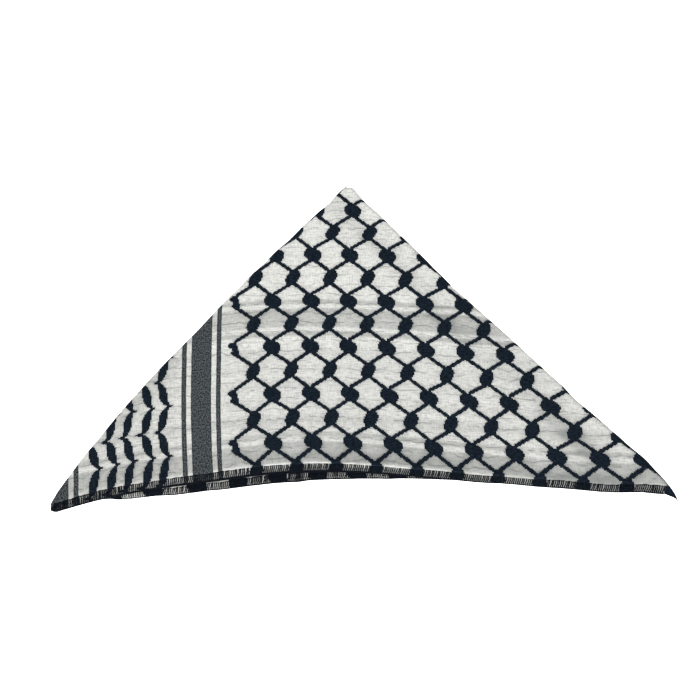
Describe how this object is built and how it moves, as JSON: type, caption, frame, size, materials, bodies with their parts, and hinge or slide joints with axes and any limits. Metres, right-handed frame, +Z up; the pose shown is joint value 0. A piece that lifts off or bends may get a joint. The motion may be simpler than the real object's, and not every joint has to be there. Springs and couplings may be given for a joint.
{
  "type": "folded keffiyeh bandana",
  "caption": "Square cotton scarf folded into a flat triangle, with a net pattern, striped border and overlocked edge.",
  "frame": {"origin": "centre of the folded cloth's footprint, on the surface it lies on", "axes": "+X along the hem from the striped corner to the plain one, +Y from the hem to the apex, +Z up out of the front face"},
  "size_m": [0.5494, 0.2848, 0.0049],
  "materials": {
    "white_cloth": "matte woven cotton, off-white ground with navy-black pattern floats and charcoal stripes",
    "dark_thread": "matte black overlock thread over the cloth's edge"
  },
  "bodies": {
    "root": {"front_quarter": "white_cloth", "inner_quarters": "white_cloth", "back_quarter": "white_cloth", "front_hem": "dark_thread", "dark_hem": "dark_thread", "peeking_hem": "dark_thread", "back_hem": "dark_thread"}
  },
  "joints": []
}
